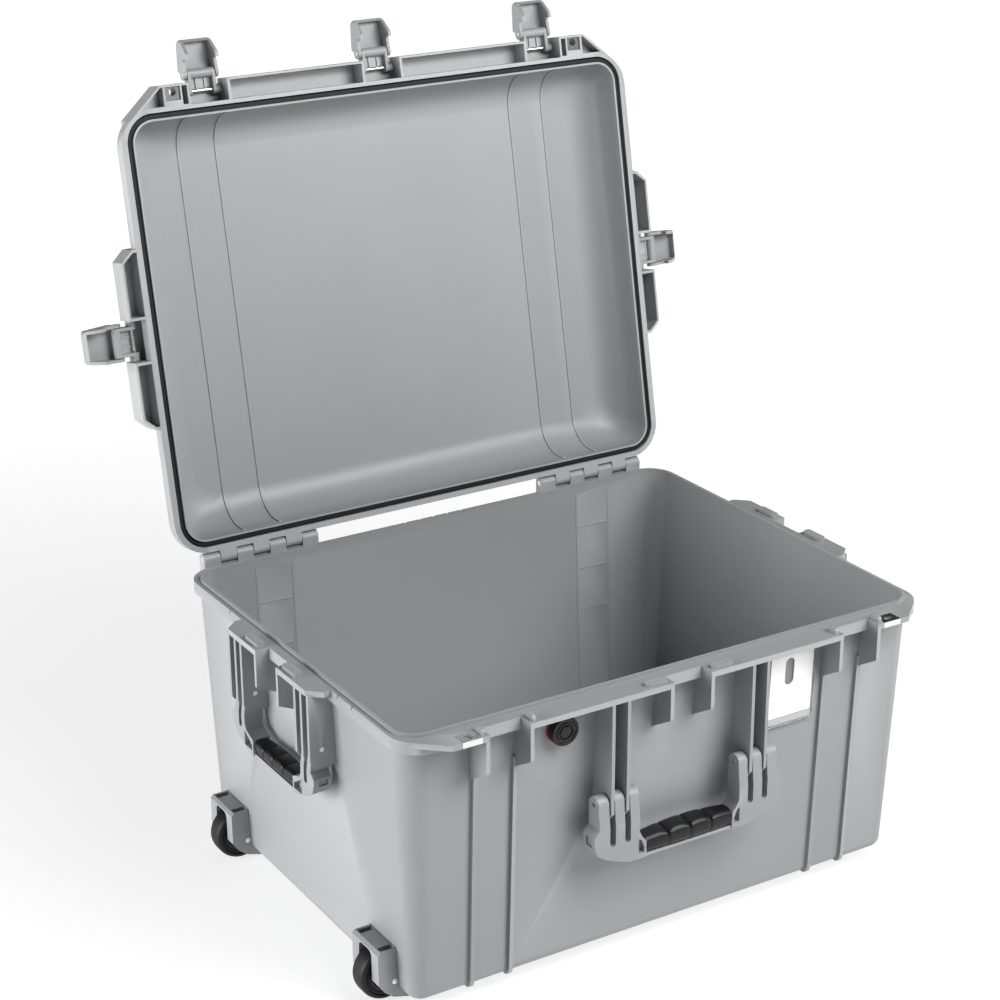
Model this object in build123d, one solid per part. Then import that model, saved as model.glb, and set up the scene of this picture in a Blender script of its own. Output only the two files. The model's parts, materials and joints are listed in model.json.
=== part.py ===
"""Large wheeled protective case with a hinged lid, drawn with the lid swung open.

Millimetres.  X runs along the length (wheels at -X, pull handle at +X), Y from the front
to the hinges, Z up.  The origin is on the floor under the middle of the base.  The lid and
everything on it are drawn closed first and then turned about the hinge line.
"""
from build123d import *
from math import cos, radians, sin, sqrt, tan
import os

# ---- driving dimensions -------------------------------------------------------------------
OPENING_X = 600.0       # clear opening of the base at its rim
OPENING_Y = 450.0
WALL = 4.0
DRAFT = 2.4             # wall draft, degrees
BODY_Z = 15.0           # underside of the tub, which stands on two rails
FLOOR_Z = 24.0          # inside floor
RIM_Z = 307.0           # top of the base rim
SKIRT_Z = 294.5         # underside of the rim band, which the latches hook under
TONGUE = 3.0            # sealing tongue, thickness and height
CORNER_R = 28.0         # outside vertical corner radius at the rim
MARK = 0.9              # height of the ridges moulded on inside walls
FAINT = 0.35            # height of the upright ridges on the base's back wall
RIM_HALF_X = 308.5
RIM_FRONT = 240.0
RIM_BACK = 238.0
FLANGE_FRONT = 257.0    # outer face of the front flange
FLANGE_SIDE = 330.0     # outer face of the side flanges
FLANGE_Z = 301.0        # underside of the flanges

LID_Z = 308.0           # parting face of the closed lid
LID_DEPTH = 51.0
LID_WALL = 4.5
LID_HALF_X = 312.0
LID_FRONT = 234.5
LID_BACK = 236.5
LID_SKIRT = 14.0
LID_BOX_TOP = 334.0     # top of the lid's latch boxes
LID_BOX_WALL = 2.3      # outer wall of the boxes
LID_RIB = 10.5          # stacking ribs on top of the lid
LID_SOFT_R = 36.0       # soft edge between the lid's sides and its inside floor
LID_OPEN = 101.07       # rest angle of the lid, degrees from closed
HINGE_Y = 244.1
HINGE_Z = 314.5
KNUCKLE_R = 6.5
HINGE_PIN_R = 3.0

GAP_HALF = 22.0         # half width of a latch gap
LATCH_X = 207.0         # outer front latches
LATCH_OUT = 22.0        # arm hinge, outwards from the edge of the opening
LATCH_Z = 327.0
ARM = 18.0              # arm hinge to lever pivot
LEVER = 35.5            # lever pivot to lever tip
LEVER_HALF = 19.6       # half width of a lever at its pivot
LATCH_PIN_R = 2.0
LEVER_PIN_R = 1.75
RUN = 0.05              # running clearance on a radius

WHEEL_R = 28.6
WHEEL_HALF = 11.0
WHEEL_X = -296.0
WHEEL_Y = 161.0
WHEEL_Z = 29.0
AXLE_R = 3.0
BRACKET_HALF = 26.0
BRACKET_TOP = 65.0
BRACKET_OUT = -314.0

RAIL_Y = 130.0          # pull handle tubes and the rails that hold them
RAIL_HALF = 17.0
RECESS_X = 250.0        # inner wall of the pull handle recess
RECESS_HALF = 152.0
RECESS_TOP = 64.0

PADLOCK_X = 247.5
PADLOCK_Y = -249.5
PADLOCK_R = 4.0
VALVE_X = -134.0
VALVE_Z = 277.0
CARD_X0, CARD_X1 = 114.0, 172.0
CARD_Z0, CARD_Z1 = 207.0, 287.0
RIB_X = (185.0, 229.0)  # gussets and ribs beside the outer latches

SIDES = (-1, 1)


# ---- drawing helpers ----------------------------------------------------------------------
def block(x0, x1, y0, y1, z0, z1):
    """Box between two corners."""
    centre = Pos((x0 + x1) / 2, (y0 + y1) / 2, (z0 + z1) / 2)
    return centre * Box(x1 - x0, y1 - y0, z1 - z0)


def prism(plane, outline, length):
    """Closed outline on a plane, carried along the plane's normal."""
    return extrude(plane * Polygon(*outline, align=None), length, dir=plane.z_dir)


def prism_x(outline, x0, x1):
    """Closed (y, z) outline carried from x0 to x1."""
    return prism(Plane.YZ.offset(x0), outline, x1 - x0)


def prism_y(outline, y0, y1):
    """Closed (x, z) outline carried from y0 to y1."""
    return prism(Plane.XZ.offset(-y1), outline, y1 - y0)


def prism_z(outline, z0, z1):
    """Closed (x, y) outline carried from z0 to z1."""
    return prism(Plane.XY.offset(z0), outline, z1 - z0)


def rod_x(x0, x1, y, z, radius):
    return Pos((x0 + x1) / 2, y, z) * Rot(0, 90, 0) * Cylinder(radius, x1 - x0)


def rod_y(x, y0, y1, z, radius):
    return Pos(x, (y0 + y1) / 2, z) * Rot(90, 0, 0) * Cylinder(radius, y1 - y0)


def rod_z(x, y, z0, z1, radius):
    return Pos(x, y, (z0 + z1) / 2) * Cylinder(radius, z1 - z0)


def ring_plate(half_x, half_y, corner, z0, z1, y_shift=0.0):
    """Rounded rectangular slab."""
    outline = Pos(0, y_shift, z0) * RectangleRounded(2 * half_x, 2 * half_y, corner)
    return extrude(outline, z1 - z0)


def drafted(half_x, half_y, corner, z_top, z_bottom):
    """Rounded rectangular solid that narrows downwards with the wall draft."""
    top = Plane((0, 0, z_top), x_dir=(1, 0, 0), z_dir=(0, 0, -1))
    return extrude(top * RectangleRounded(2 * half_x, 2 * half_y, corner),
                   z_top - z_bottom, taper=DRAFT)


def wall_inset(z):
    """How far the tub's wall has moved in below the rim at height z."""
    return (RIM_Z - z) * tan(radians(DRAFT))


def front_wall(x, z):
    """Plane on the outside of the front wall, facing out."""
    y = -(OPENING_Y / 2 + WALL - wall_inset(z))
    out = (0, -cos(radians(DRAFT)), -sin(radians(DRAFT)))
    return Plane(origin=(x, y, z), x_dir=(1, 0, 0), z_dir=out)


def mirrored(shape):
    """The shape and its mirror image across the middle of the length."""
    return shape + mirror(shape, Plane.YZ)


def both_ends(shape):
    """The shape and its mirror image across the middle of the width."""
    return shape + mirror(shape, Plane.XZ)


def opened(shape):
    """Swing something drawn on the closed lid to where the open lid holds it."""
    return shape.rotate(Axis((0, HINGE_Y, HINGE_Z), (1, 0, 0)), -LID_OPEN)


def solids_of(*shapes):
    """Several separate solids kept together as one sub-part."""
    found = []
    for shape in shapes:
        found.extend(shape.solids())
    return Compound(children=found)


# ---- places on the outside ----------------------------------------------------------------
class Place:
    """A spot on the rim: a turn about Z, and how far out and along the rim it lies."""

    def __init__(self, name, turn, edge, along=0.0):
        self.name = name
        self.turn = turn
        self.edge = edge
        self.along = along

    def put(self, shape):
        """Move a shape drawn facing -Y, with y = 0 at the edge of the opening."""
        return Rot(0, 0, self.turn) * (Pos(self.along, -self.edge, 0) * shape)


LATCHES = (Place("front_left", 0, OPENING_Y / 2, -LATCH_X),
           Place("front_centre", 0, OPENING_Y / 2),
           Place("front_right", 0, OPENING_Y / 2, LATCH_X),
           Place("left", -90, OPENING_X / 2),
           Place("right", 90, OPENING_X / 2))


# ---- base ---------------------------------------------------------------------------------
def base_gusset(x, top, depth, foot, thickness=4.0):
    """Upright gusset on the front wall, its lower end slanting back into the wall."""
    outline = ((-222, top), (-FLANGE_FRONT + 0.3, top), (-FLANGE_FRONT + 0.3, depth),
               (-222, foot))
    return prism_x(outline, x - thickness / 2, x + thickness / 2)


def base_rib(x):
    """Slim rib that follows the front wall down from a gusset and round the bottom edge."""
    proud = OPENING_Y / 2 + WALL + 4.0
    top, low = 262.0, BODY_Z
    outline = ((-215, top), (-(proud - wall_inset(top)), top),
               (-(proud - wall_inset(low + 9)), low + 9),
               (-(proud - 2.5 - wall_inset(low)), low + 2.5),
               (-(proud - 7 - wall_inset(low)), low), (-195, low), (-195, low + 12))
    return prism_x(outline, x - 2.2, x + 2.2)


def front_flange():
    """Front flange between the latch gaps, its gussets, ribs, keys and corner lugs."""
    tray = prism_z(((GAP_HALF, -230), (GAP_HALF, -FLANGE_FRONT), (RIB_X[0], -FLANGE_FRONT),
                    (RIB_X[0], -230)), FLANGE_Z, RIM_Z)
    lug = prism_z(((RIB_X[1], -225), (RIB_X[1], -FLANGE_FRONT), (269, -FLANGE_FRONT),
                   (298, -231.5), (296, -218), (280, -214)), FLANGE_Z, RIM_Z)
    half = tray + lug
    for x in (GAP_HALF + 2, RIB_X[0] - 2, RIB_X[1] + 2):
        half += base_gusset(x, RIM_Z, 267, 246)
    for x in RIB_X:
        half += base_rib(x)
    for x in (RIB_X[0] - 6, RIB_X[1] + 5):
        key = block(x - 2, x + 2, -253.5, -241, RIM_Z - 1, RIM_Z + 5.5)
        half += fillet(key.edges().filter_by(Axis.X).group_by(Axis.Z)[-1], 3)
    pillow = block(26.6, 51, -253.5, -245.5, RIM_Z - 1, RIM_Z + 3.6)
    half += fillet(pillow.edges().filter_by(Axis.Z), 3)
    return mirrored(half)


def handle_fins(handle):
    """Upright fins under the flange that carry a handle's pins."""
    fins = None
    for x in handle.fins:
        root = -(handle.wall - 3)
        tip = handle.fin_out
        low = handle.pivot_z - 19
        fin = prism_x(((root, FLANGE_Z + 1), (-tip, FLANGE_Z + 1), (-tip, low + 8),
                       (-tip + 6, low), (root, low)),
                      x - handle.fin_half, x + handle.fin_half)
        fin -= rod_x(x - 10, x + 10, -handle.pivot_out, handle.pivot_z, handle.pin_r + RUN)
        fins = fin if fins is None else fins + fin
    return mirrored(fins)


def side_flange():
    """Side flanges each side of a side latch, drawn facing -X."""
    plate = prism_z(((-300, GAP_HALF), (-FLANGE_SIDE, GAP_HALF), (-FLANGE_SIDE, 84),
                     (-316, 97), (-300, 97)), FLANGE_Z, RIM_Z)
    gusset = prism_y(((-298, RIM_Z), (-FLANGE_SIDE, RIM_Z), (-FLANGE_SIDE, 266),
                      (-298, 252)), GAP_HALF, GAP_HALF + 4)
    key = block(-326, -316.5, 26.6, 55, RIM_Z - 1, RIM_Z + 4)
    key = fillet(key.edges().filter_by(Axis.Z), 3)
    catch = block(-315, -300, -GAP_HALF - 1, GAP_HALF + 1, SKIRT_Z, RIM_Z)
    return both_ends(plate + gusset + key) + catch


def knuckle_spans():
    """Alternating hinge knuckles of one hinge: (x0, x1) for the base, then for the lid."""
    start, pitch, gap = 146.0, 19.7, 0.6
    spans = [(start + i * pitch, start + (i + 1) * pitch - gap) for i in range(7)]
    return spans[0::2], spans[1::2]


def base_hinge():
    """Base knuckles with their webs down to the rim band."""
    spans = knuckle_spans()[0]
    y0, y1 = HINGE_Y - KNUCKLE_R, HINGE_Y + KNUCKLE_R
    hinge = prism_x(((225, RIM_Z), (225, 288), (231, 288), (y1, 299), (y1, RIM_Z + 0.2)),
                    spans[0][0], spans[-1][1])
    for x0, x1 in spans:
        piece = rod_x(x0, x1, HINGE_Y, HINGE_Z, KNUCKLE_R)
        piece += block(x0, x1, y0, y1, RIM_Z - 1, HINGE_Z)
        hinge += piece - rod_x(x0 - 1, x1 + 1, HINGE_Y, HINGE_Z, HINGE_PIN_R)
    return mirrored(hinge)


def rails():
    """Two rails under the tub, each a closed channel for a tube, and a skid between them."""
    outline = fillet(Rectangle(2 * RAIL_HALF, 24).vertices(), 4)
    rail = extrude(Plane.YZ.offset(-205) * Pos(RAIL_Y, 12) * outline, RECESS_X + 205)
    nose = prism_y(((-206, -1), (-206, 16), (-190, -1)), RAIL_Y - 20, RAIL_Y + 20)
    skid = block(-30, 30, -RAIL_Y, RAIL_Y, 0, BODY_Z + 1)
    return both_ends(rail - nose) + chamfer(skid.edges().filter_by(Axis.Y).group_by(Axis.Z)[0], 6)


def wall_marks(half_x, half_y, corner):
    """Faint ridges and clearer ledges moulded on the inside of the back wall."""
    ridges = None
    for x in RIB_X:
        ridge = block(x - 1, x + 1, 150, 226, 40, RIM_Z - 8)
        ridges = ridge if ridges is None else ridges + ridge
    ledges = None
    for z in (154, 206, 258):
        ledge = block(RIB_X[0] + 4, RIB_X[1] - 3, 150, 226, z - 0.7, z + 0.7)
        ledges = ledge if ledges is None else ledges + ledge
    marks = ridges - drafted(half_x, half_y - FAINT, corner, RIM_Z, FLOOR_Z)
    marks += ledges - drafted(half_x, half_y - MARK, corner, RIM_Z, FLOOR_Z)
    return mirrored(marks)


def base_shell():
    half_x, half_y = OPENING_X / 2, OPENING_Y / 2
    inner_r = CORNER_R - WALL
    tub = drafted(half_x + WALL, half_y + WALL, CORNER_R, RIM_Z, BODY_Z)
    tub = fillet(tub.faces().sort_by(Axis.Z)[0].edges(), 12)
    body = tub
    body += ring_plate(RIM_HALF_X, (RIM_FRONT + RIM_BACK) / 2, CORNER_R + 5, SKIRT_Z, RIM_Z,
                       (RIM_BACK - RIM_FRONT) / 2)
    body += ring_plate(half_x + TONGUE, half_y + TONGUE, inner_r + TONGUE, RIM_Z - 1,
                       RIM_Z + TONGUE)
    body += front_flange()
    body += handle_fins(FRONT_HANDLE)
    side = side_flange() + Rot(0, 0, -90) * handle_fins(SIDE_HANDLE)
    body += side
    body += mirror(side, Plane.YZ)
    body += base_hinge()
    body += rails()

    cavity = drafted(half_x, half_y, inner_r, RIM_Z, FLOOR_Z)
    cavity = fillet(cavity.faces().sort_by(Axis.Z)[0].edges(), 8)
    cavity -= wall_marks(half_x, half_y, inner_r)
    cavity += ring_plate(half_x, half_y, inner_r, RIM_Z - 0.5, RIM_Z + 10)
    well = block(-330, -255.5, WHEEL_Y - 30.5, WHEEL_Y + 30.5, 0, 70)
    recess_box = block(RECESS_X - 4, 330, -RECESS_HALF - 4, RECESS_HALF + 4, 0, RECESS_TOP + 4)
    cavity -= both_ends(well) + recess_box
    body -= cavity

    body -= both_ends(block(-330, -259.5, WHEEL_Y - 26.5, WHEEL_Y + 26.5, -1, 66))
    body -= block(RECESS_X, 330, -RECESS_HALF, RECESS_HALF, -1, RECESS_TOP)
    body -= both_ends(block(-198, RECESS_X + 1, RAIL_Y - 14, RAIL_Y + 14, 3, 21))

    body -= front_wall(VALVE_X, VALVE_Z) * Cylinder(8.1, 30)
    pad = block(237, 258, -FLANGE_FRONT - 1, -241, RIM_Z - 1.2, RIM_Z + 1)
    pad += block(237, 258, -FLANGE_FRONT - 1, -FLANGE_FRONT + 1.2, FLANGE_Z - 1, RIM_Z + 1)
    hole = rod_z(PADLOCK_X, PADLOCK_Y, SKIRT_Z - 1, RIM_Z + 1, PADLOCK_R)
    body -= mirrored(pad + hole)
    for dy in (-19, 19):
        body -= both_ends(rod_x(-262, -250, WHEEL_Y + dy, 52, 2.6))
    for y, z in PLATE_SCREWS:
        body -= rod_x(240, 252, y, z, 1.8)

    for y in (124, -110, -138):
        body -= block(-310, -305.5, y - 1, y + 1, RIM_Z - 3, RIM_Z + 1)
    for i in range(-2, 3):
        body -= block(18 * i - 1, 18 * i + 1, RIM_BACK - 4, RIM_BACK + 1, RIM_Z - 3, RIM_Z + 1)
    return body


# ---- lid ----------------------------------------------------------------------------------
def lid_form(half_x, half_y, corner, depth, soft):
    """Dished solid above the parting face with a soft quarter-round top edge."""
    straight = depth - soft
    levels = [0, straight * 0.6, straight]
    levels += [straight + soft * sin(radians(a)) for a in (22, 42, 60, 76, 90)]
    sections = []
    for level in levels:
        rise = max(0.0, level - straight)
        inset = 0.03 * level + soft - sqrt(max(0.0, soft * soft - rise * rise))
        outline = RectangleRounded(2 * (half_x - inset), 2 * (half_y - inset), corner)
        sections.append(Pos(0, 0, LID_Z + level) * outline)
    return loft(sections, ruled=True)


def latch_web(place):
    """Thin plate that closes the back of a latch gap."""
    web = block(-GAP_HALF - 1, GAP_HALF + 1, -25, 3, LID_BOX_TOP - 0.8, LID_BOX_TOP + 2)
    return place.put(web)


def lid_box(x0, x1):
    """Hollow latch box along the front of the lid, open towards the parting face."""
    box = prism_z(((x0, -225), (x0, -FLANGE_FRONT), (x1, -FLANGE_FRONT), (x1, -225)),
                  LID_Z, LID_BOX_TOP)
    return box - block(x0 + 3, x1 - 3, -FLANGE_FRONT + LID_BOX_WALL, -LID_FRONT, LID_Z - 1,
                       LID_BOX_TOP - 4)


def lid_corner():
    """Front corner lug of the lid: a slot, the padlock seat and a three-cornered pocket."""
    lug = prism_z(((RIB_X[1], -215), (RIB_X[1], -FLANGE_FRONT), (262, -FLANGE_FRONT),
                   (298.8, -225.3), (298, -212), (288, -205)), LID_Z, LID_BOX_TOP)
    wall_y = -FLANGE_FRONT + LID_BOX_WALL
    lug -= block(RIB_X[1] + 2.5, 237.5, wall_y, -LID_FRONT - 1, LID_Z - 1, LID_Z + 14)
    lug -= block(239.5, 256.5, wall_y, -240.5, LID_Z - 1, LID_Z + 3)
    lug -= prism_z(((259, wall_y), (261.5, wall_y), (283, -235.5), (259, -235.5)),
                   LID_Z - 1, LID_Z + 14)
    lug -= rod_z(PADLOCK_X, PADLOCK_Y, LID_Z - 1, LID_BOX_TOP + 1, PADLOCK_R)
    lug -= block(239.5, 256.5, -FLANGE_FRONT - 1, -240.5, LID_Z + 14, LID_BOX_TOP + 1)
    return lug


def lid_side():
    """Hollow boxes each side of a side latch, drawn facing -X."""
    box = prism_z(((-298, GAP_HALF), (-FLANGE_SIDE, GAP_HALF), (-FLANGE_SIDE, 83),
                   (-317, 95), (-298, 95)), LID_Z, LID_BOX_TOP)
    wall_x = -FLANGE_SIDE + LID_BOX_WALL
    box -= prism_z(((-LID_HALF_X, GAP_HALF + 3), (wall_x, GAP_HALF + 3), (wall_x, 82),
                    (-316, 92), (-LID_HALF_X, 92)), LID_Z - 1, LID_BOX_TOP - 4)
    return both_ends(box)


def lid_marks():
    """Low ridges across the inside of the lid, in line with the ribs of the base."""
    marks = None
    for x in RIB_X:
        ridge = block(x - 1.6, x + 1.6, -230, 230, LID_Z + 8, LID_Z + LID_DEPTH + 1)
        marks = ridge if marks is None else marks + ridge
    return mirrored(marks)


def lid_hinge():
    """Lid knuckles with their webs in to the skirt."""
    knuckles = None
    for x0, x1 in knuckle_spans()[1]:
        piece = rod_x(x0, x1, HINGE_Y, HINGE_Z, KNUCKLE_R)
        piece += prism_x(((228, LID_Z), (HINGE_Y, LID_Z), (HINGE_Y, HINGE_Z + KNUCKLE_R),
                          (228, 326)), x0, x1)
        piece -= rod_x(x0 - 1, x1 + 1, HINGE_Y, HINGE_Z, HINGE_PIN_R + RUN)
        knuckles = piece if knuckles is None else knuckles + piece
    return mirrored(knuckles)


def lid_shell():
    half_x, half_y = OPENING_X / 2 - 3, OPENING_Y / 2 - 3
    outer = lid_form(half_x + LID_WALL, half_y + LID_WALL, 26, LID_DEPTH + LID_WALL,
                     LID_SOFT_R + 4)
    cavity = lid_form(half_x, half_y, 22, LID_DEPTH, LID_SOFT_R)
    cavity -= lid_marks() - lid_form(half_x - MARK, half_y - MARK, 21, LID_DEPTH - MARK,
                                     LID_SOFT_R)
    top = LID_Z + LID_DEPTH + LID_WALL
    skirt_depth = (LID_FRONT + LID_BACK) / 2
    body = outer
    body += ring_plate(LID_HALF_X, skirt_depth, 38, LID_Z, LID_Z + LID_SKIRT,
                       (LID_BACK - LID_FRONT) / 2)
    body += mirrored(lid_box(GAP_HALF, RIB_X[0]) + lid_corner())
    body += mirrored(lid_side())
    body += lid_hinge()
    for x in (RIB_X[0] - 2, 0.5 * sum(RIB_X) + 2 + 9):
        rib = block(x, x + 12, -200, 200, top - 24, top + LID_RIB)
        rib = chamfer(rib.edges().filter_by(Axis.X).group_by(Axis.Z)[-1], 9, 26)
        rib = fillet(rib.faces().sort_by(Axis.Z)[-1].edges().filter_by(Axis.Y), 3)
        body += mirrored(rib)
    cross = block(-178, 178, -6, 6, top - 4, top + 3)
    for y in (-120, 120):
        body += Pos(0, y, 0) * fillet(cross.edges().group_by(Axis.Z)[-1], 2.5)
    body -= cavity
    body -= ring_plate(half_x - 0.1, half_y - 0.1, 22, LID_Z - 5, LID_Z + 0.1)
    groove = ring_plate(half_x + 8.3, half_y + 8.3, 30.3, LID_Z - 1, LID_Z + 8)
    groove -= ring_plate(half_x + 2.2, half_y + 2.2, 24.2, LID_Z - 2, LID_Z + 9)
    body -= groove
    for place in LATCHES:
        body += latch_web(place)
        hole = rod_x(-24.8, 24.8, -LATCH_OUT, LATCH_Z, LATCH_PIN_R)
        body -= place.put(hole)
    return body


def lid_gasket():
    half_x, half_y = OPENING_X / 2 - 3, OPENING_Y / 2 - 3
    z0, z1 = LID_Z + 2.6, LID_Z + 8
    ring = ring_plate(half_x + 8.0, half_y + 8.0, 30, z0, z1)
    ring = chamfer(ring.edges().group_by(Axis.Z)[0], 1.4)
    return ring - ring_plate(half_x + 2.5, half_y + 2.5, 24.5, z0 - 1, z1 + 1)


# ---- latches, drawn hanging closed and facing -Y, y = 0 at the edge of the opening ----------
def latch_arm():
    """Arm between the lid and the lever: hub, two side plates, cross bar and ribbed web."""
    y, pivot = -LATCH_OUT, LATCH_Z - ARM
    side = prism_x(((y - 5, pivot), (y + 5, pivot), (y + 5, LATCH_Z), (y - 5, LATCH_Z)), 12.2, 15.6)
    arm = side + mirror(side, Plane.YZ)
    for x in (-16.7, 16.7):
        arm += rod_x(x - 4.5, x + 4.5, y, LATCH_Z, 5)
    arm += rod_x(-15.6, 15.6, y, pivot, 5)
    arm += block(-13, 13, y - 5, y - 2.2, pivot + 5, LATCH_Z + 1)
    for x in (-5, 5):
        arm += block(x - 0.7, x + 0.7, y - 2.5, y - 0.7, pivot + 4, LATCH_Z - 3)
    arm -= rod_x(-30, 30, y, LATCH_Z, LATCH_PIN_R + RUN)
    arm -= rod_x(-30, 30, y, pivot, LEVER_PIN_R)
    return arm


def latch_lever():
    """Scoop-shaped lever, narrower at its tip, whose two side walls hook under the base rim."""
    y, z = -LATCH_OUT, LATCH_Z - ARM
    half, tip, wall = LEVER_HALF, 17.4, 3.2
    front, nose = y - 10.5, y + 12.5
    low, hook = z - LEVER, SKIRT_Z - 0.4
    profile = ((front, z - 3), (front, low + 4), (front + 3, low), (front + 8.5, low),
               (nose - 3, hook - 9), (nose, hook - 5), (nose, hook), (y + 5, hook), (y + 5, z))
    plan = ((-half, z + 1), (-half, z - 7), (-tip, low - 1), (tip, low - 1), (half, z - 7),
            (half, z + 1))
    lever = prism_x(profile, -half, half) & prism_y(plan, front - 1, nose + 1)
    lever = fillet(lever.edges().filter_by(Axis.Y).group_by(Axis.Z)[0], 4)
    scoop = ((wall - half, z + 2), (wall - half, z - 7), (wall - tip, low + 3),
             (tip - wall, low + 3), (half - wall, z - 7), (half - wall, z + 2))
    lever -= prism_y(scoop, front + 3, nose + 2)
    for x0, x1 in ((-half, wall - half), (half - wall, half)):
        lever += rod_x(x0, x1, y, z, 6)
    return lever - rod_x(-30, 30, y, z, LEVER_PIN_R + RUN)


def latch_pin(radius, z, half):
    return rod_x(-half, half, -LATCH_OUT, z, radius)


def flipped(shape):
    """Swing a closed latch out to where the open arm holds it."""
    return shape.rotate(Axis((0, -LATCH_OUT, LATCH_Z), (1, 0, 0)), -90)


# ---- carry handles, drawn hanging and facing -Y ---------------------------------------------
class Handle:
    """Sizes of one folding carry handle; x is measured from its middle."""

    def __init__(self, pivot_out, pivot_z, wall, fin_out, fins, fin_half, prongs, corner,
                 drop, grip_half, grip_size, pin_r):
        self.pivot_out = pivot_out
        self.pivot_z = pivot_z
        self.wall = wall
        self.fin_out = fin_out
        self.fins = fins
        self.fin_half = fin_half
        self.prongs = prongs
        self.corner = corner
        self.drop = drop
        self.grip_half = grip_half
        self.grip_size = grip_size
        self.pin_r = pin_r


FRONT_HANDLE = Handle(pivot_out=247.0, pivot_z=195.0, wall=224.0, fin_out=256.7,
                      fins=(74.0, 91.6), fin_half=1.8,
                      prongs=((60.0, 70.7), (77.3, 88.3), (94.9, 107.0)),
                      corner=113.0, drop=68.0, grip_half=52.0, grip_size=25.0, pin_r=2.5)
SIDE_HANDLE = Handle(pivot_out=316.0, pivot_z=242.0, wall=300.0, fin_out=329.0,
                     fins=(59.0, 72.0, 86.0), fin_half=2.2,
                     prongs=((62.0, 69.0), (75.0, 83.0)),
                     corner=90.0, drop=63.0, grip_half=44.0, grip_size=21.0, pin_r=2.5)


def handle_frame(h):
    """Bail: forked arms on the pins, sloping shoulders and the core bar under the grip."""
    y, z = -h.pivot_out, h.pivot_z
    thick = 8.5
    low = z - h.drop
    inner, outer = h.prongs[0][0], h.prongs[-1][1]
    shoulder = z - 25
    half = None
    for x0, x1 in h.prongs:
        prong = rod_x(x0, x1, y, z, thick) + block(x0, x1, y - thick, y + thick, shoulder, z)
        prong += prism_x(((y - thick, z - 4), (y - thick - 2.5, shoulder), (y, shoulder)), x0, x1)
        half = prong if half is None else half + prong
    foot = ((h.grip_half, low + 18), (inner - 3, low + 24), (inner, low + 30),
            (inner, shoulder + 1), (outer, shoulder + 1), (h.corner, shoulder - 5),
            (h.corner, low + 28), (h.corner - 4, low + 17), (h.corner - 16, low + 9),
            (h.corner - 32, low + 3), (h.corner - 42, low), (h.grip_half, low))
    shoulder_solid = prism_y(foot, y - thick - 2.5, y + thick)
    window = prism_y(((h.grip_half + 2.5, low + 6), (inner + 1, low + 6), (inner + 1, low + 22),
                      (inner - 2, low + 20), (h.grip_half + 2.5, low + 12)),
                     y - thick - 3, y - thick + 3)
    shoulder_solid -= window
    slots = None
    for (_, x0), (x1, _) in zip(h.prongs, h.prongs[1:]):
        middle = (x0 + x1) / 2
        slot = block(x0, x1, y - 20, y + 20, low + 26, z + 20)
        slot += rod_y(middle, y - 20, y + 20, low + 26, (x1 - x0) / 2)
        slots = slot if slots is None else slots + slot
    half += shoulder_solid
    half -= slots
    half -= rod_x(inner - 5, outer + 5, y, z, h.pin_r + RUN)
    half -= block(h.corner - 3, h.corner + 1, y - 5, y + 5, low + 24, shoulder - 7)
    frame = mirrored(half)
    frame += block(-h.grip_half - 1, h.grip_half + 1, y - 5, y + 5, low, low + 15)
    frame += block(-h.grip_half - 1, h.grip_half + 1, y - 9.5, y + 7, low, low + 3)
    return frame


def handle_grip(h):
    """Soft grip over the core bar, in four stepped pads parted by grooves."""
    y, low = -h.pivot_out - 1, h.pivot_z - h.drop + 3.3
    size = h.grip_size
    length = 2 * h.grip_half - 1.0
    pads = 4
    pitch = length / pads
    grip = None
    for i in range(pads):
        x0 = -length / 2 + i * pitch
        rise = 1.6 if i in (1, 2) else 0.0
        pad = block(x0 + 0.6, x0 + pitch - 0.6, y - size / 2, y + size / 2, low,
                    low + size - 4 + rise)
        pad = fillet(pad.edges().filter_by(Axis.X), 6.5)
        grip = pad if grip is None else grip + pad
    core = block(-length / 2, length / 2, y - size / 2 + 1.6, y + size / 2 - 1.6, low,
                 low + size - 6)
    grip += fillet(core.edges().filter_by(Axis.X), 6)
    channel = block(-h.grip_half, h.grip_half, -h.pivot_out - 5.1, -h.pivot_out + 5.1,
                    low - 1, h.pivot_z - h.drop + 15.1)
    return grip - channel


def handle_pins(h):
    x0 = h.fins[0] - h.fin_half if len(h.fins) > 2 else h.prongs[0][0] + 1
    x1 = h.fins[-1] + h.fin_half if len(h.fins) > 2 else h.prongs[-1][1] - 1
    pin = rod_x(x0, x1, -h.pivot_out, h.pivot_z, h.pin_r)
    return solids_of(pin, mirror(pin, Plane.YZ))


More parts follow.
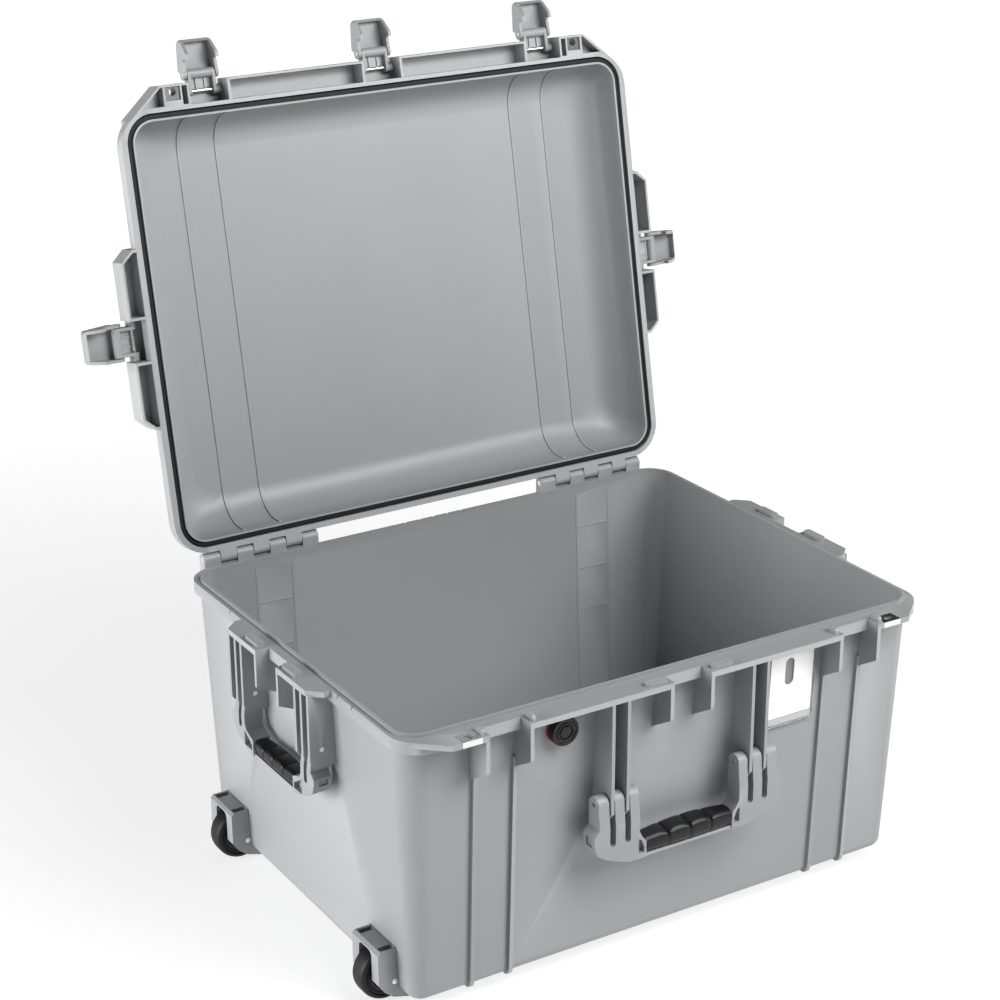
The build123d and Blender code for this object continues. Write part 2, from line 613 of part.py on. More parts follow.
# ---- wheels -------------------------------------------------------------------------------
def wheel_bracket():
    """Bracket let into a lower corner: top plate, two cored cheeks and a back web."""
    y0, y1 = WHEEL_Y - BRACKET_HALF, WHEEL_Y + BRACKET_HALF
    outline = ((-260, 8), (-281, 7), (-298, 12), (-307, 19), (BRACKET_OUT, 29),
               (BRACKET_OUT, BRACKET_TOP - 3), (BRACKET_OUT + 3, BRACKET_TOP),
               (-260, BRACKET_TOP))
    body = prism_y(outline, y0, y1)
    gap = WHEEL_HALF + 1.5
    body -= rod_y(WHEEL_X, WHEEL_Y - gap, WHEEL_Y + gap, WHEEL_Z, WHEEL_R + 3)
    arch = block(-330, WHEEL_X, WHEEL_Y - gap, WHEEL_Y + gap, 0, WHEEL_Z + WHEEL_R + 3)
    body -= fillet(arch.edges().filter_by(Axis.X).group_by(Axis.Z)[-1], 6)
    body -= block(-330, WHEEL_X + WHEEL_R + 3, WHEEL_Y - gap, WHEEL_Y + gap, 0, WHEEL_Z)
    for dy in (-19.5, 19.5):
        y = WHEEL_Y + dy
        pocket = block(-310, -294, y - 3.6, y + 3.6, 50, BRACKET_TOP + 1)
        body -= fillet(pocket.edges().filter_by(Axis.Z), 2)
    for dy in (-19, 19):
        body -= rod_x(-270, -259, WHEEL_Y + dy, 52, 2.5)
    return body - rod_y(WHEEL_X, y0 - 1, y1 + 1, WHEEL_Z, AXLE_R)


def wheel_tyre():
    tyre = rod_y(WHEEL_X, WHEEL_Y - WHEEL_HALF, WHEEL_Y + WHEEL_HALF, WHEEL_Z, WHEEL_R)
    tyre = fillet(tyre.edges(), 5)
    return tyre - rod_y(WHEEL_X, WHEEL_Y - 20, WHEEL_Y + 20, WHEEL_Z, 19)


def wheel_hub():
    """Hub with a dished web each side and a boss that holds the bushes."""
    hub = rod_y(WHEEL_X, WHEEL_Y - 10, WHEEL_Y + 10, WHEEL_Z, 19)
    dish = rod_y(WHEEL_X, WHEEL_Y + 6, WHEEL_Y + 12, WHEEL_Z, 16)
    dish -= rod_y(WHEEL_X, WHEEL_Y + 5, WHEEL_Y + 13, WHEEL_Z, 8.5)
    hub -= dish
    hub -= mirror(dish, Plane.XZ.offset(-WHEEL_Y))
    return hub - rod_y(WHEEL_X, WHEEL_Y - 20, WHEEL_Y + 20, WHEEL_Z, 6)


def wheel_bushes():
    found = []
    for dy in (-7, 7):
        bush = rod_y(WHEEL_X, WHEEL_Y + dy - 4, WHEEL_Y + dy + 4, WHEEL_Z, 6)
        found.append(bush - rod_y(WHEEL_X, WHEEL_Y + dy - 5, WHEEL_Y + dy + 5, WHEEL_Z,
                                  AXLE_R + RUN))
    return solids_of(*found)


def wheel_axle():
    return rod_y(WHEEL_X, WHEEL_Y - BRACKET_HALF - 0.3, WHEEL_Y + BRACKET_HALF + 0.3, WHEEL_Z,
                 AXLE_R)


def bracket_screws():
    """Screws from inside the case into the bracket's back web."""
    found = []
    for side in SIDES:
        for dy in (-19, 19):
            y = side * WHEEL_Y + dy
            screw = rod_x(-269, -255.5, y, 52, 2.5) + rod_x(-255.5, -252.5, y, 52, 5)
            found.append(screw - block(-253.7, -252, y - 3, y + 3, 51.4, 52.6))
    return solids_of(*found)


# ---- pull handle --------------------------------------------------------------------------
TUBE_Z = 12.0
GRIP_X0, GRIP_X1 = 268.0, 292.0
PLATE_SCREWS = ((-60, 30), (60, 30), (-146, 40), (146, 40))


def square_tube(x0, x1, half_y, half_z, wall):
    """Rectangular tube along X, centred on a rail."""
    outer = block(x0, x1, RAIL_Y - half_y, RAIL_Y + half_y, TUBE_Z - half_z, TUBE_Z + half_z)
    return outer - block(x0 - 1, x1 + 1, RAIL_Y - half_y + wall, RAIL_Y + half_y - wall,
                         TUBE_Z - half_z + wall, TUBE_Z + half_z - wall)


def pull_grip():
    """Grip bar across the two tubes, with a pocket for the release button."""
    half = RAIL_Y + 16
    outline = fillet(Rectangle(GRIP_X1 - GRIP_X0, 30).vertices(), 6)
    centre = Pos((GRIP_X0 + GRIP_X1) / 2, 19)
    bar = extrude(Plane.XZ.offset(-half) * centre * outline, 2 * half)
    bar -= block(GRIP_X0 - 1, GRIP_X0 + 5, -100, 100, 22, 40)
    bar -= block(GRIP_X1 - 10, GRIP_X1 + 1, -20, 20, 13, 25)
    return bar


def pull_button():
    button = block(GRIP_X1 - 5.7, GRIP_X1 + 1.3, -19.6, 19.6, 13.4, 24.6)
    return fillet(button.faces().sort_by(Axis.X)[-1].edges(), 1.2)


def retainer_plate():
    """Plate screwed to the recess wall that keeps the tubes in."""
    plate = block(RECESS_X, RECESS_X + 3, -150, 150, 22, 46)
    for side in SIDES:
        plate += block(RECESS_X, RECESS_X + 3, side * RAIL_Y - 20, side * RAIL_Y + 20, 1.5, 23)
        plate -= block(RECESS_X - 1, RECESS_X + 4, side * RAIL_Y - 11.6, side * RAIL_Y + 11.6,
                       TUBE_Z - 6.6, TUBE_Z + 6.6)
    for y, z in PLATE_SCREWS:
        plate -= rod_x(RECESS_X - 1, RECESS_X + 4, y, z, 1.9)
    return plate


def plate_screws():
    found = []
    for y, z in PLATE_SCREWS:
        head = rod_x(RECESS_X + 3, RECESS_X + 5, y, z, 3.6)
        head -= block(RECESS_X + 4.2, RECESS_X + 6, y - 0.6, y + 0.6, z - 4, z + 4)
        found.append(rod_x(RECESS_X - 7, RECESS_X + 3, y, z, 1.8) + head)
    return solids_of(*found)


# ---- small parts --------------------------------------------------------------------------
def valve_knob():
    """Pressure valve: knob with a stepped face and a stem through the wall."""
    on_wall = front_wall(VALVE_X, VALVE_Z)
    knob = Pos(0, 0, 6.5) * Cylinder(15, 9)
    knob = fillet(knob.edges().group_by(Axis.Z)[-1], 1.5)
    knob -= Pos(0, 0, 10.5) * (Cylinder(11, 2) - Cylinder(6.5, 3))
    knob += Pos(0, 0, -2.5) * Cylinder(8, 17)
    return on_wall * knob


def valve_o_ring():
    ring = Cylinder(15.6, 1.9) - Cylinder(9, 4)
    return front_wall(VALVE_X, VALVE_Z) * (Pos(0, 0, 1.0) * ring)


def valve_nut():
    nut = extrude(RegularPolygon(14, 6), 6) - Cylinder(8.0, 20)
    return front_wall(VALVE_X, VALVE_Z) * (Pos(0, 0, -WALL - 6.2) * nut)


def card_frame():
    """Clear pocket that holds a card: back plate, two side rails and a bottom ledge."""
    width, height = CARD_X1 - CARD_X0, CARD_Z1 - CARD_Z0
    frame = Pos(0, 0, 0.8) * Box(width, height, 1.2)
    for side in SIDES:
        frame += Pos(side * (width / 2 - 1), 0, 2.0) * Box(2, height, 1.6)
    frame += Pos(0, -height / 2 + 1, 2.3) * Box(width, 2, 2.2)
    frame += Pos(0, -height / 2 + 5, 3.0) * Box(width, 10, 0.8)
    return front_wall((CARD_X0 + CARD_X1) / 2, (CARD_Z0 + CARD_Z1) / 2) * frame


def id_card():
    """Blank card with a round-ended slot near the top."""
    card = Pos(0, 1.2, 1.95) * Box(CARD_X1 - CARD_X0 - 4.6, CARD_Z1 - CARD_Z0 - 3, 0.9)
    slot = extrude(Plane.XY.offset(1) * SlotOverall(30, 11, rotation=90), 3)
    card -= Pos(-3, 20, 0) * slot
    return front_wall((CARD_X0 + CARD_X1) / 2, (CARD_Z0 + CARD_Z1) / 2) * card


def padlock_plates(lid):
    """Steel plates round the padlock holes, one at each front corner."""
    if lid:
        plate = block(240, 256, -254, -241, LID_Z + 1.8, LID_Z + 3)
        plate -= rod_z(PADLOCK_X, PADLOCK_Y, LID_Z, LID_Z + 4, PADLOCK_R)
    else:
        plate = block(237, 258, -FLANGE_FRONT, -241, RIM_Z - 1.2, RIM_Z)
        plate += block(237, 258, -FLANGE_FRONT, -FLANGE_FRONT + 1.2, FLANGE_Z, RIM_Z)
        plate -= rod_z(PADLOCK_X, PADLOCK_Y, RIM_Z - 2, RIM_Z + 1, PADLOCK_R)
    return solids_of(plate, mirror(plate, Plane.YZ))


def hinge_pins():
    base_spans = knuckle_spans()[0]
    pin = rod_x(base_spans[0][0], base_spans[-1][1], HINGE_Y, HINGE_Z, HINGE_PIN_R)
    return solids_of(pin, mirror(pin, Plane.YZ))


# ---- all sub-parts ------------------------------------------------------------------------
def build_all():
    nodes = {"base_shell": base_shell(),
             "hinge_pins": hinge_pins(),
             "base_padlock_plates": padlock_plates(lid=False),
             "valve_knob": valve_knob(),
             "valve_o_ring": valve_o_ring(),
             "valve_nut": valve_nut(),
             "card_frame": card_frame(),
             "id_card": id_card(),
             "lid_shell": opened(lid_shell()),
             "lid_gasket": opened(lid_gasket()),
             "lid_padlock_plates": opened(padlock_plates(lid=True)),
             "bracket_screws": bracket_screws()}

    pins = []
    for place in LATCHES:
        arm = flipped(latch_arm())
        lever = flipped(latch_lever())
        lever_pin = flipped(latch_pin(LEVER_PIN_R, LATCH_Z - ARM, LEVER_HALF))
        nodes["latch_arm_" + place.name] = opened(place.put(arm))
        nodes["latch_lever_" + place.name] = opened(place.put(lever))
        nodes["lever_pin_" + place.name] = opened(place.put(lever_pin))
        pins.append(opened(place.put(latch_pin(LATCH_PIN_R, LATCH_Z, 24.8))))
    nodes["latch_hinge_pins"] = solids_of(*pins)

    turns = (("front", FRONT_HANDLE, 0), ("left", SIDE_HANDLE, -90), ("right", SIDE_HANDLE, 90))
    for name, handle, turn in turns:
        nodes[name + "_handle_frame"] = Rot(0, 0, turn) * handle_frame(handle)
        nodes[name + "_handle_grip"] = Rot(0, 0, turn) * handle_grip(handle)
        nodes[name + "_handle_pins"] = Rot(0, 0, turn) * handle_pins(handle)

    wheel_parts = {"wheel_bracket": wheel_bracket(), "wheel_tyre": wheel_tyre(),
                   "wheel_hub": wheel_hub(), "wheel_bushes": wheel_bushes(),
                   "wheel_axle": wheel_axle()}
    for name, shape in wheel_parts.items():
        nodes[name + "_rear"] = shape
        nodes[name + "_front"] = mirror(shape, Plane.XZ)

    sleeve = square_tube(-197, RECESS_X, 13.4, 8.4, 2.0)
    tube = square_tube(-188, GRIP_X0, 11.0, 6.0, 1.5)
    nodes["pull_sleeves"] = solids_of(sleeve, mirror(sleeve, Plane.XZ))
    nodes["pull_tubes"] = solids_of(tube, mirror(tube, Plane.XZ))
    nodes["pull_grip"] = pull_grip()
    nodes["pull_button"] = pull_button()
    nodes["pull_retainer_plate"] = retainer_plate()
    nodes["retainer_plate_screws"] = plate_screws()
    return nodes


os.makedirs("parts", exist_ok=True)
for node, shape in build_all().items():
    export_step(shape, "parts/" + node + ".step")
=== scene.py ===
import json
import math

import bmesh
import bpy
from mathutils import Matrix, Vector


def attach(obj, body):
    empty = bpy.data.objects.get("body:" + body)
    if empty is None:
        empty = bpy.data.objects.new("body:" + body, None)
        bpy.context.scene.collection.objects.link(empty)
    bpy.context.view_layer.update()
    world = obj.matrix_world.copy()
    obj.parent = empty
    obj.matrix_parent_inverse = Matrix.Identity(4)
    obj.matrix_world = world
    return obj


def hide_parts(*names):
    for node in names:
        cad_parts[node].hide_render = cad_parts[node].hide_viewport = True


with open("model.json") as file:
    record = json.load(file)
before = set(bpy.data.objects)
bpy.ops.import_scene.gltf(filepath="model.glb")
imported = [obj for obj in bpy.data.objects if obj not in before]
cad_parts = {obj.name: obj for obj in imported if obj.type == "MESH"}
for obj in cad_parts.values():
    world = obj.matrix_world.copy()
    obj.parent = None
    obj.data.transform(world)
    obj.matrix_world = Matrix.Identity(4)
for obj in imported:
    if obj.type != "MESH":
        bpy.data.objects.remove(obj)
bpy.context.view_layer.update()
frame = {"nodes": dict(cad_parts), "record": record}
NODES = frame["nodes"]

MM = 0.001
WHITE = (1, 1, 1, 1)

# ---- camera at the photograph's viewing angle ----------------------------------------------
CAMERA_AT = Vector((-1.22098, -1.87860, 1.28090))
AZIMUTH, ELEVATION, ROLL = map(math.radians, (-30.35, 21.72, -0.782))
SENSOR_MM, LENS_MM = 36.0, 83.88
SHIFT_X, SHIFT_Y = 0.0529, 0.0153
CLIP_START, CLIP_END = 0.05, 50.0


def make_camera():
    data = bpy.data.cameras.new("camera")
    data.sensor_width = SENSOR_MM
    data.lens = LENS_MM
    data.shift_x, data.shift_y = SHIFT_X, SHIFT_Y
    data.clip_start, data.clip_end = CLIP_START, CLIP_END
    camera = bpy.data.objects.new("camera", data)
    bpy.context.scene.collection.objects.link(camera)
    back = Vector((math.sin(AZIMUTH) * math.cos(ELEVATION),
                   -math.cos(AZIMUTH) * math.cos(ELEVATION), math.sin(ELEVATION)))
    right = Vector((math.cos(AZIMUTH), math.sin(AZIMUTH), 0.0))
    up = back.cross(right)
    rolled_right = right * math.cos(ROLL) + up * math.sin(ROLL)
    rolled_up = up * math.cos(ROLL) - right * math.sin(ROLL)
    turn = Matrix((rolled_right, rolled_up, back)).transposed()
    camera.matrix_world = Matrix.Translation(CAMERA_AT) @ turn.to_4x4()
    bpy.context.scene.camera = camera


# ---- node trees ------------------------------------------------------------------------------
def add_node(tree, kind, inputs=None):
    """New node of this kind, with the values given for its inputs."""
    node = tree.nodes.new(kind)
    for socket, value in (inputs or {}).items():
        node.inputs[socket].default_value = value
    return node


def link(tree, source, output, target, socket):
    tree.links.new(source.outputs[output], target.inputs[socket])


def new_material(name, inputs):
    """New material, its tree and its shader with the values given for the shader's inputs."""
    material = bpy.data.materials.new(name)
    material.use_nodes = True
    tree = material.node_tree
    shader = tree.nodes["Principled BSDF"]
    for socket, value in inputs.items():
        shader.inputs[socket].default_value = value
    return material, tree, shader


# ---- floor and light ------------------------------------------------------------------------
FLOOR_SIZE = 60.0
FLOOR_Z = -0.0005       # just under the case's feet, so no two faces lie in one plane
FLOOR_LOOK = {"Base Color": (0.3, 0.3, 0.3, 1), "Roughness": 0.7, "Emission Color": WHITE}
# distances from the middle of the case in metres, and the glow's strength at each
FLOOR_GLOW = {"From Min": 0.7, "From Max": 2.4, "To Min": 0.75, "To Max": 1.0}

WORLD_LIGHT = {"Color": WHITE, "Strength": 0.05}
VIEW_GAMMA = 0.88
# name, where it stands, what it faces, its width and height in metres, watts
LAMPS = (("key_left", (-4.0, 0.75, 0.9), (0, 0, 0.3), (2.4, 2.0), 195),
         ("front_right", (1.3, -2.2, 1.9), (0, 0, 0.4), (1.6, 1.2), 58),
         ("rim_right", (2.4, -0.3, 0.9), (0.1, 0, 0.3), (1.0, 1.8), 9),
         ("over", (0.3, -1.1, 1.7), (0.05, 0.1, 0.3), (1.0, 0.5), 21))


def make_floor():
    """White floor that glows more the farther it lies from the case."""
    material, tree, shader = new_material("floor_pale", FLOOR_LOOK)
    where = add_node(tree, "ShaderNodeTexCoord")
    distance = add_node(tree, "ShaderNodeVectorMath")
    distance.operation = "LENGTH"
    glow = add_node(tree, "ShaderNodeMapRange", FLOOR_GLOW)
    link(tree, where, "Object", distance, "Vector")
    link(tree, distance, "Value", glow, "Value")
    link(tree, glow, "Result", shader, "Emission Strength")
    bpy.ops.mesh.primitive_plane_add(size=FLOOR_SIZE, location=(0, 0, FLOOR_Z))
    floor = bpy.context.object
    floor.name = "floor"
    floor.data.materials.append(material)


def area_light(name, at, target, size, power):
    data = bpy.data.lights.new(name, "AREA")
    data.shape = "RECTANGLE"
    data.size, data.size_y = size
    data.energy = power
    light = bpy.data.objects.new(name, data)
    light.location = at
    light.rotation_euler = (Vector(target) - Vector(at)).to_track_quat("-Z", "Y").to_euler()
    bpy.context.scene.collection.objects.link(light)


def make_light():
    world = bpy.data.worlds.new("studio")
    world.use_nodes = True
    background = world.node_tree.nodes["Background"]
    for socket, value in WORLD_LIGHT.items():
        background.inputs[socket].default_value = value
    bpy.context.scene.world = world
    for lamp in LAMPS:
        area_light(*lamp)
    bpy.context.scene.view_settings.view_transform = "Standard"
    bpy.context.scene.view_settings.gamma = VIEW_GAMMA


# ---- materials ------------------------------------------------------------------------------
GRAIN_DETAIL = 3.0
CLOUDS = {"Scale": 9.0, "Detail": 4.0}              # the slow mottling over a whole piece
HIGHLIGHT_FROM, HIGHLIGHT_TO = 0.52, 0.62                     # pointiness of an edge, from no painted highlight to a full one
HIGHLIGHT_GAIN, HIGHLIGHT_LIFT = 1.5, 0.05                    # how much paler the painted highlight makes a convex edge
ROUGHNESS_SPREAD, LEAST_ROUGHNESS = 0.08, 0.03
RELIEF_DEPTH = 0.15 * MM
BRUSHED = (0.05, 1, 1)                              # stretches the grain along X


def tinted(colour, gain, lift=0.0):
    return tuple(min(1, c * gain + lift) for c in colour) + (1,)


def moulded(name, colour, roughness, grain_mm=0.9, bump=0.12, mottle=0.05, edge=0.0,
            stretch=(1, 1, 1), inputs=None):
    """Moulded or finished surface: fine grain in relief, faint mottling and a painted highlight
    that makes the convex edges paler.

    colour is linear, mottle is how far it varies, edge is how strongly the painted highlight
    pales the convex edges, stretch scales the grain along each axis and inputs are further
    values for the shader.
    """
    material, tree, shader = new_material(name, inputs or {})

    where = add_node(tree, "ShaderNodeTexCoord")
    drawn = add_node(tree, "ShaderNodeMapping", {"Scale": stretch})
    link(tree, where, "Object", drawn, "Vector")
    grain = add_node(tree, "ShaderNodeTexNoise",
                     {"Scale": 1.0 / (grain_mm * MM), "Detail": GRAIN_DETAIL})
    link(tree, drawn, "Vector", grain, "Vector")
    clouds = add_node(tree, "ShaderNodeTexNoise", CLOUDS)
    link(tree, where, "Object", clouds, "Vector")

    paint = add_node(tree, "ShaderNodeMixRGB", {"Color1": tinted(colour, 1 - mottle),
                                                "Color2": tinted(colour, 1 + mottle)})
    link(tree, clouds, "Fac", paint, "Fac")
    # painted highlight: convex edges, found by their pointiness, are painted paler
    if edge:
        shape = add_node(tree, "ShaderNodeNewGeometry")
        edge_highlight = add_node(tree, "ShaderNodeMapRange",
                        {"From Min": HIGHLIGHT_FROM, "From Max": HIGHLIGHT_TO, "To Max": edge})
        link(tree, shape, "Pointiness", edge_highlight, "Value")
        highlighted = add_node(tree, "ShaderNodeMixRGB",
                        {"Color2": tinted(colour, HIGHLIGHT_GAIN, HIGHLIGHT_LIFT)})
        link(tree, edge_highlight, "Result", highlighted, "Fac")
        link(tree, paint, "Color", highlighted, "Color1")
        paint = highlighted
    link(tree, paint, "Color", shader, "Base Color")

    rough = add_node(tree, "ShaderNodeMapRange",
                     {"To Min": max(LEAST_ROUGHNESS, roughness - ROUGHNESS_SPREAD),
                      "To Max": min(1.0, roughness + ROUGHNESS_SPREAD)})
    link(tree, grain, "Fac", rough, "Value")
    link(tree, rough, "Result", shader, "Roughness")

    relief = add_node(tree, "ShaderNodeBump", {"Strength": bump, "Distance": RELIEF_DEPTH})
    link(tree, grain, "Fac", relief, "Height")
    link(tree, relief, "Normal", shader, "Normal")
    return material


METAL = {"Metallic": 1.0}
CLEAR = {"Transmission Weight": 0.92, "IOR": 1.46}


def make_materials():
    """Material of each slot in the record, and a copy of the steel darkened with painted shade
    for the plates on the lid.
    """
    return {
        "grey_shell": moulded("shell_grey", (0.300, 0.313, 0.315), 0.44, grain_mm=0.8,
                              bump=0.3, mottle=0.03, edge=0.35),
        "tyre": moulded("tyre_black", (0.006, 0.006, 0.006), 0.55, grain_mm=1.2,
                        bump=0.25, mottle=0.3),
        "gasket": moulded("gasket_black", (0.003, 0.003, 0.003), 0.62, grain_mm=1.0,
                          bump=0.1, mottle=0.2),
        "grip": moulded("grip_black", (0.007, 0.007, 0.008), 0.42, grain_mm=0.9,
                        bump=0.35, mottle=0.2, edge=0.1),
        "red_seal": moulded("seal_red", (0.62, 0.02, 0.03), 0.35, grain_mm=1.0, bump=0.05),
        "black_plastic": moulded("plastic_black", (0.009, 0.009, 0.010), 0.4, grain_mm=0.8,
                                 bump=0.2, mottle=0.2, edge=0.1),
        "bushes": moulded("brass", (0.6, 0.42, 0.18), 0.3, grain_mm=0.5, bump=0.05,
                          inputs=METAL),
        "steel": moulded("stainless", (0.78, 0.78, 0.77), 0.26, grain_mm=0.5, bump=0.25,
                         stretch=BRUSHED, inputs=METAL),
        # the same stainless steel painted darker: painted shade standing for the dark reflection
        # on the lid's plates
        "painted_shade_steel": moulded("stainless_painted_shade", (0.11, 0.11, 0.115), 0.42, grain_mm=0.5,
                              bump=0.25, stretch=BRUSHED, inputs=METAL),
        "tube": moulded("anodised_tube", (0.5, 0.5, 0.52), 0.32, grain_mm=0.4, bump=0.05,
                        stretch=BRUSHED, inputs=METAL),
        "clear_pocket": moulded("pocket_clear", (0.93, 0.95, 0.96), 0.14, grain_mm=1.5,
                                bump=0.03, mottle=0.01, inputs=CLEAR),
        "card": moulded("card_white", (0.88, 0.88, 0.87), 0.5, grain_mm=2.0,
                        bump=0.03, mottle=0.01),
    }


# ---- finish on the pieces -------------------------------------------------------------------
SMOOTH_BELOW = 32       # degrees between faces that still shade as one surface
ROUND_ABOVE = 34        # degrees between faces whose edge is rounded
WELD = 0.00001
# edge rounding in millimetres, by a word in the node's name
ROUNDING = (("lid_shell", 0.8), ("base_shell", 0.8), ("latch_lever", 0.9), ("latch_arm", 0.6),
            ("handle_frame", 1.1), ("wheel_bracket", 1.4), ("pull_grip", 0.8))
ROUNDING_SEGMENTS = 3
AREA_WEIGHT = 100       # how far the larger faces decide the shading normals


def smoothing():
    """Modifier tree: weld the tessellation and shade it smooth except over real edges."""
    tree = bpy.data.node_groups.new("smooth_by_angle", "GeometryNodeTree")
    for way in ("INPUT", "OUTPUT"):
        tree.interface.new_socket("Geometry", in_out=way, socket_type="NodeSocketGeometry")
    given = add_node(tree, "NodeGroupInput")
    made = add_node(tree, "NodeGroupOutput")
    bare = add_node(tree, "GeometryNodeRemoveAttribute", {"Name": "custom_normal"})
    weld = add_node(tree, "GeometryNodeMergeByDistance", {"Distance": WELD})
    faces = add_node(tree, "GeometryNodeSetShadeSmooth")
    edges = add_node(tree, "GeometryNodeSetShadeSmooth")
    edges.domain = "EDGE"
    edges.inputs["Shade Smooth"].default_value = False
    bend = add_node(tree, "GeometryNodeInputMeshEdgeAngle")
    sharp = add_node(tree, "FunctionNodeCompare")
    sharp.data_type = "FLOAT"
    sharp.operation = "GREATER_THAN"
    sharp.inputs["B"].default_value = math.radians(SMOOTH_BELOW)
    for source, target in ((given, bare), (bare, weld), (weld, faces), (faces, edges),
                           (edges, made)):
        link(tree, source, "Geometry", target, "Geometry")
    link(tree, bend, "Unsigned Angle", sharp, "A")
    link(tree, sharp, "Result", edges, "Selection")
    return tree


SMOOTH_TREE = smoothing()


def smooth(piece):
    piece.modifiers.new("smooth", "NODES").node_group = SMOOTH_TREE


def dress(materials):
    """Material, smooth shading and even normals on every CAD node, and rounded edges on the
    nodes named in ROUNDING.
    """
    slots = {part["node"]: part["material_slot"] for part in frame["record"]["subparts"]}
    for name, node in NODES.items():
        node.data.materials.clear()
        # the lid's padlock plates get the steel copy that is darkened with painted shade
        look = "painted_shade_steel" if name == "lid_padlock_plates" else slots[name]
        node.data.materials.append(materials[look])
        smooth(node)
        for kind, width in ROUNDING:
            if kind in name:
                bevel = node.modifiers.new("rounding", "BEVEL")
                bevel.width = width * MM
                bevel.segments = ROUNDING_SEGMENTS
                bevel.limit_method = "ANGLE"
                bevel.angle_limit = math.radians(ROUND_ABOVE)
                bevel.use_clamp_overlap = True
        even = node.modifiers.new("even_normals", "WEIGHTED_NORMAL")
        even.keep_sharp = True
        even.weight = AREA_WEIGHT


# ---- pieces that stand for CAD nodes, in millimetres ----------------------------------------
def add_mesh(name, points, faces, material, place):
    mesh = bpy.data.meshes.new(name)
    mesh.from_pydata([Vector(p) * MM for p in points], [], faces)
    work = bmesh.new()
    work.from_mesh(mesh)
    bmesh.ops.recalc_face_normals(work, faces=work.faces)
    work.to_mesh(mesh)
    work.free()
    mesh.materials.append(material)
    piece = bpy.data.objects.new(name, mesh)
    bpy.context.scene.collection.objects.link(piece)
    piece.matrix_world = place
    return piece


def skinned(rings, closed):
    """Points and faces between equal rings, with the two end rings capped unless closed."""
    count = len(rings[0])
    points = [p for ring in rings for p in ring]
    faces = []
    for i in range(len(rings) if closed else len(rings) - 1):
        a, b = i * count, (i + 1) % len(rings) * count
        for j in range(count):
            k = (j + 1) % count
            faces.append((a + j, a + k, b + k, b + j))
    if not closed:
        faces.append(tuple(range(count)))
        faces.append(tuple(range((len(rings) - 1) * count, len(rings) * count)))
    return points, faces


# half length, half width, height, distance out and underside of each kind of grip
FRONT_GRIP = (51.5, 12.5, 21.4, 248.0, 130.3)
SIDE_GRIP = (43.5, 10.6, 17.8, 317.0, 182.3)
GRIP_PADS = 4
# where the sections of one pad lie, as fractions of its length
PAD_PARTS = (0.0, 0.03, 0.06, 0.1, 0.16, 0.24, 0.34, 0.46, 0.58, 0.7, 0.8, 0.88, 0.94, 0.97)
GROOVE_REACH = 1.8              # how far a groove between two pads spreads into each
GROOVE_DEPTH = 1.4
GRIP_TAPER = 0.17               # how much slimmer the grip is at its ends
SCALLOP_DEPTH = 3.0
SCALLOP_FROM, SCALLOP_WIDTH = 1.0, 4.5      # its middle from the groove, and its spread
SCALLOP_LEAST, SCALLOP_LEAN = 0.35, 0.65    # its share towards the case, and its growth outward
SCALLOP_TURN = 0.35             # where across the section that growth begins
SECTION_STEPS = 30
SECTION_START, SECTION_STOP = math.radians(-62), math.radians(246)
SECTION_POWER = 0.72            # below 1 makes the oval section squarer
CHANNEL = (-4.1, 6.1)           # sides of the channel, measured from the middle of the grip
CHANNEL_TOP = 11.85


def squared(value):
    return math.copysign(abs(value) ** SECTION_POWER, value)


def grip_ring(x, along, half_width, height, low, groove, scallop):
    """U-shaped section of a grip at x: rounded outside, square channel over the core bar.

    along runs from -1 to 1; groove and scallop are how far into each the section lies.
    """
    taper = 1 - GRIP_TAPER * along ** 2
    side = half_width * taper - GROOVE_DEPTH * groove
    rise = height * taper - GROOVE_DEPTH * groove
    ring = []
    for i in range(SECTION_STEPS + 1):
        angle = SECTION_START + (SECTION_STOP - SECTION_START) * i / SECTION_STEPS
        across, up = math.cos(angle), math.sin(angle)
        z = rise / 2 * (1 + squared(up))
        if up > 0:
            lean = SCALLOP_LEAST + SCALLOP_LEAN * max(0.0, SCALLOP_TURN - across)
            z -= SCALLOP_DEPTH * scallop * up ** 3 * lean
        ring.append((x, side * squared(across), low + max(0.0, z)))
    near, far = CHANNEL
    top = low + CHANNEL_TOP
    return ring + [(x, near, low), (x, near, top), (x, far, top), (x, far, low)]


def grip(name, size, turn, material):
    """Carry handle grip: four pads parted by grooves, scalloped for the fingers on top."""
    half_length, half_width, height, out, low = size
    pitch = 2 * half_length / GRIP_PADS
    last = GRIP_PADS - 1
    stations = [(pad, part) for pad in range(GRIP_PADS) for part in PAD_PARTS] + [(last, 1.0)]
    rings = []
    for pad, part in stations:
        x = -half_length + pad * pitch + part * pitch
        edge = min(part, 1 - part) * pitch
        outer_end = (pad == 0 and part < 0.5) or (pad == last and part > 0.5)
        groove = 0.0 if outer_end else max(0.0, 1 - edge / GROOVE_REACH)
        scallop = 0.0 if outer_end else math.exp(-((edge - SCALLOP_FROM) / SCALLOP_WIDTH) ** 2)
        rings.append(grip_ring(x, x / half_length, half_width, height, low, groove, scallop))
    points, faces = skinned(rings, closed=False)
    points = [(x, y - out, z) for x, y, z in points]
    return add_mesh(name, points, faces, material, Matrix.Rotation(math.radians(turn), 4, "Z"))


def make_grips(material):
    for name, size, turn in (("front", FRONT_GRIP, 0), ("left", SIDE_GRIP, -90),
                             ("right", SIDE_GRIP, 90)):
        piece = grip(name + "_grip_rubber", size, turn, material)
        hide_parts(name + "_handle_grip")
        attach(piece, name + "_handle")
        smooth(piece)


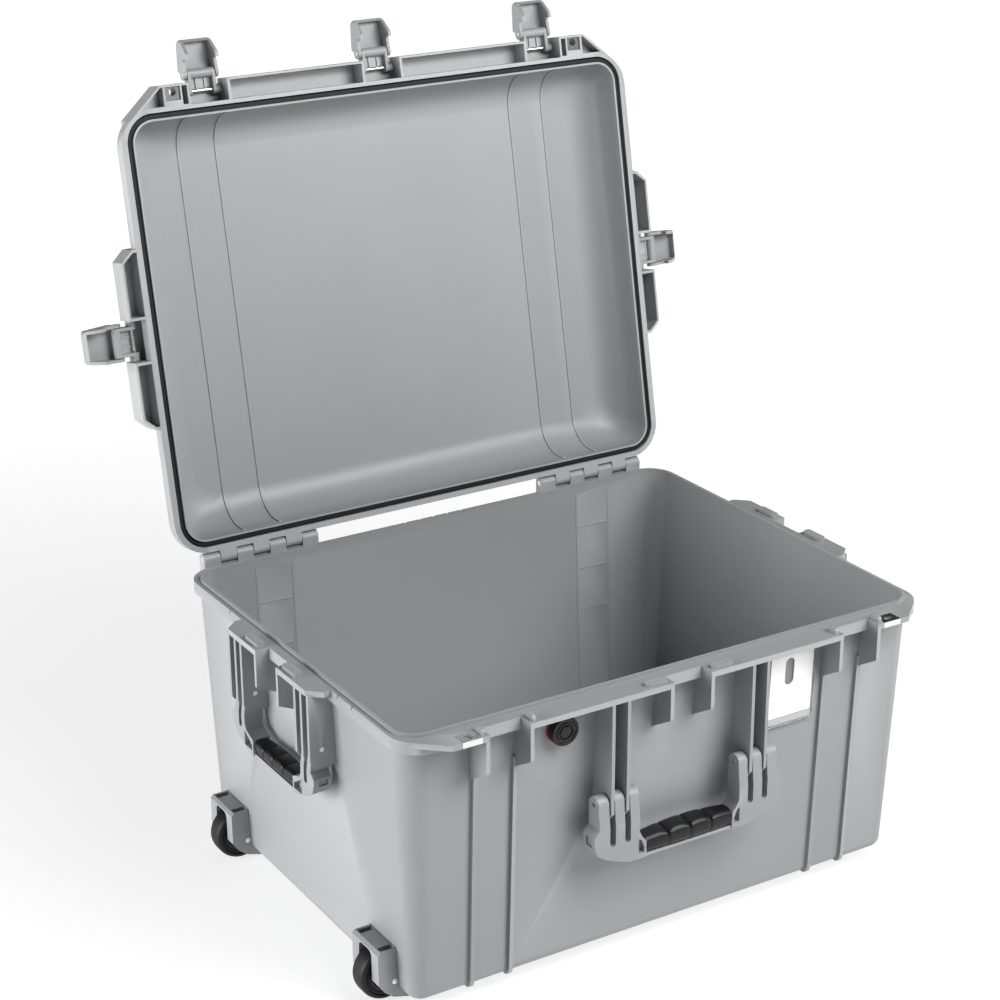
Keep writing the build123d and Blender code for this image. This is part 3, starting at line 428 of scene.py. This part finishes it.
def turned(name, profile, count, material, place, lobes=None):
    """Ring turned about its own Z axis from a closed (radius, height) profile.

    lobes gives, for a point of the profile, how much its radius swells and shrinks six times
    in a turn.
    """
    rings = []
    for i in range(count):
        angle = 2 * math.pi * i / count
        ring = []
        for k, (radius, height) in enumerate(profile):
            if lobes and k in lobes:
                radius *= 1 + lobes[k] * math.cos(6 * angle)
            ring.append((radius * math.cos(angle), radius * math.sin(angle), height))
        rings.append(ring)
    points, faces = skinned(rings, closed=True)
    return add_mesh(name, points, faces, material, place)


# half of the tyre's section, from the bore round to the middle of the tread
TYRE = ((19.05, 9.6), (19.6, 10.4), (20.6, 10.8), (21.5, 10.8), (21.9, 9.8), (23.2, 9.6),
        (23.6, 10.8), (24.4, 11.0), (25.6, 10.8), (26.8, 10.1), (27.7, 9.0), (28.2, 7.6),
        (28.5, 5.5), (28.6, 2.5))
TYRE_STEPS = 96
WHEEL_AT = (-296.0, 161.0, 29.0)        # middle of the rear wheel; the front one is at -Y


def make_tyres(material):
    section = list(TYRE) + [(r, -h) for r, h in reversed(TYRE)]
    x, y, z = WHEEL_AT
    for name, side in (("rear", 1), ("front", -1)):
        place = Matrix.Translation((x * MM, side * y * MM, z * MM))
        place = place @ Matrix.Rotation(math.radians(90), 4, "X")
        piece = turned(name + "_tyre_tread", section, TYRE_STEPS, material, place)
        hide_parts("wheel_tyre_" + name)
        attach(piece, "wheel_" + name)
        smooth(piece)


VALVE_AT = (-134.0, -227.743, 277.0)
DRAFT = math.radians(2.4)               # lean of the front wall
# valve section from the back of its stem round to the middle of its face
VALVE = ((0.02, -11), (8, -11), (8, 2), (14.3, 2), (15, 2.7), (15, 10), (14.5, 10.8), (13.5, 11),
         (12.2, 11), (11.6, 10.1), (9.9, 10.1), (9.4, 11), (8, 11), (7.5, 9.8), (6.6, 9.8),
         (5.9, 11), (5.2, 11.2), (0.02, 11.2))
VALVE_STEPS = 72
LOBES = {8: 0.05, 9: 0.05, 14: 0.07, 15: 0.07, 16: 0.07}    # by place in the section


def make_valve(material):
    out = Vector((0, -math.cos(DRAFT), -math.sin(DRAFT)))
    across = Vector((1, 0, 0))
    turn = Matrix((across, out.cross(across), out)).transposed().to_4x4()
    place = Matrix.Translation(Vector(VALVE_AT) * MM) @ turn
    piece = turned("valve_rosette", VALVE, VALVE_STEPS, material, place, LOBES)
    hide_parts("valve_knob")
    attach(piece, "base")
    smooth(piece)


make_camera()
make_floor()
make_light()
looks = make_materials()
dress(looks)
make_grips(looks["grip"])
make_tyres(looks["tyre"])
make_valve(looks["black_plastic"])
